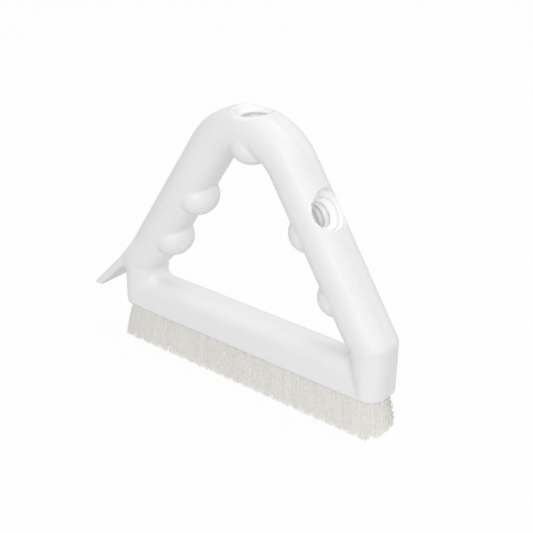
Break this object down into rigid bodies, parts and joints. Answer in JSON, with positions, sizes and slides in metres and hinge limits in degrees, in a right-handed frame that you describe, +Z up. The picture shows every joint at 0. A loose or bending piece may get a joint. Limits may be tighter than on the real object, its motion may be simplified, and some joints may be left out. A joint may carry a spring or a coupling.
{
  "type": "grout brush",
  "caption": "Triangular loop-handled grout brush with ball finger grips, threaded pole sockets, a corner scraper and a straight block of staple-set filament tufts.",
  "frame": {"origin": "middle of the trimmed filament tips, which is the plane that the brush stands on", "axes": "+X along the brush, away from the scraper; +Y across it; +Z up to the crown"},
  "size_m": [0.2638, 0.036, 0.1968],
  "materials": {
    "handle_plastic": "satin moulded white",
    "filament": "off-white crimped filament",
    "anchor_wire": "drawn flat wire"
  },
  "bodies": {
    "root": {"handle": "handle_plastic", "tufts_01": "filament", "tufts_02": "filament", "tufts_03": "filament", "tufts_04": "filament", "tufts_05": "filament", "tufts_06": "filament", "tufts_07": "filament", "tufts_08": "filament", "tufts_09": "filament", "tufts_10": "filament", "tufts_11": "filament", "tufts_12": "filament", "tufts_13": "filament", "tufts_14": "filament", "tufts_15": "filament", "tufts_16": "filament", "tufts_17": "filament", "tufts_18": "filament", "tufts_19": "filament", "tufts_20": "filament", "tufts_21": "filament", "tufts_22": "filament", "tufts_23": "filament", "tufts_24": "filament", "tufts_25": "filament", "tufts_26": "filament", "tufts_27": "filament", "anchors_row_1": "anchor_wire", "anchors_row_2": "anchor_wire", "anchors_row_3": "anchor_wire", "anchors_row_4": "anchor_wire", "anchors_row_5": "anchor_wire"}
  },
  "joints": []
}
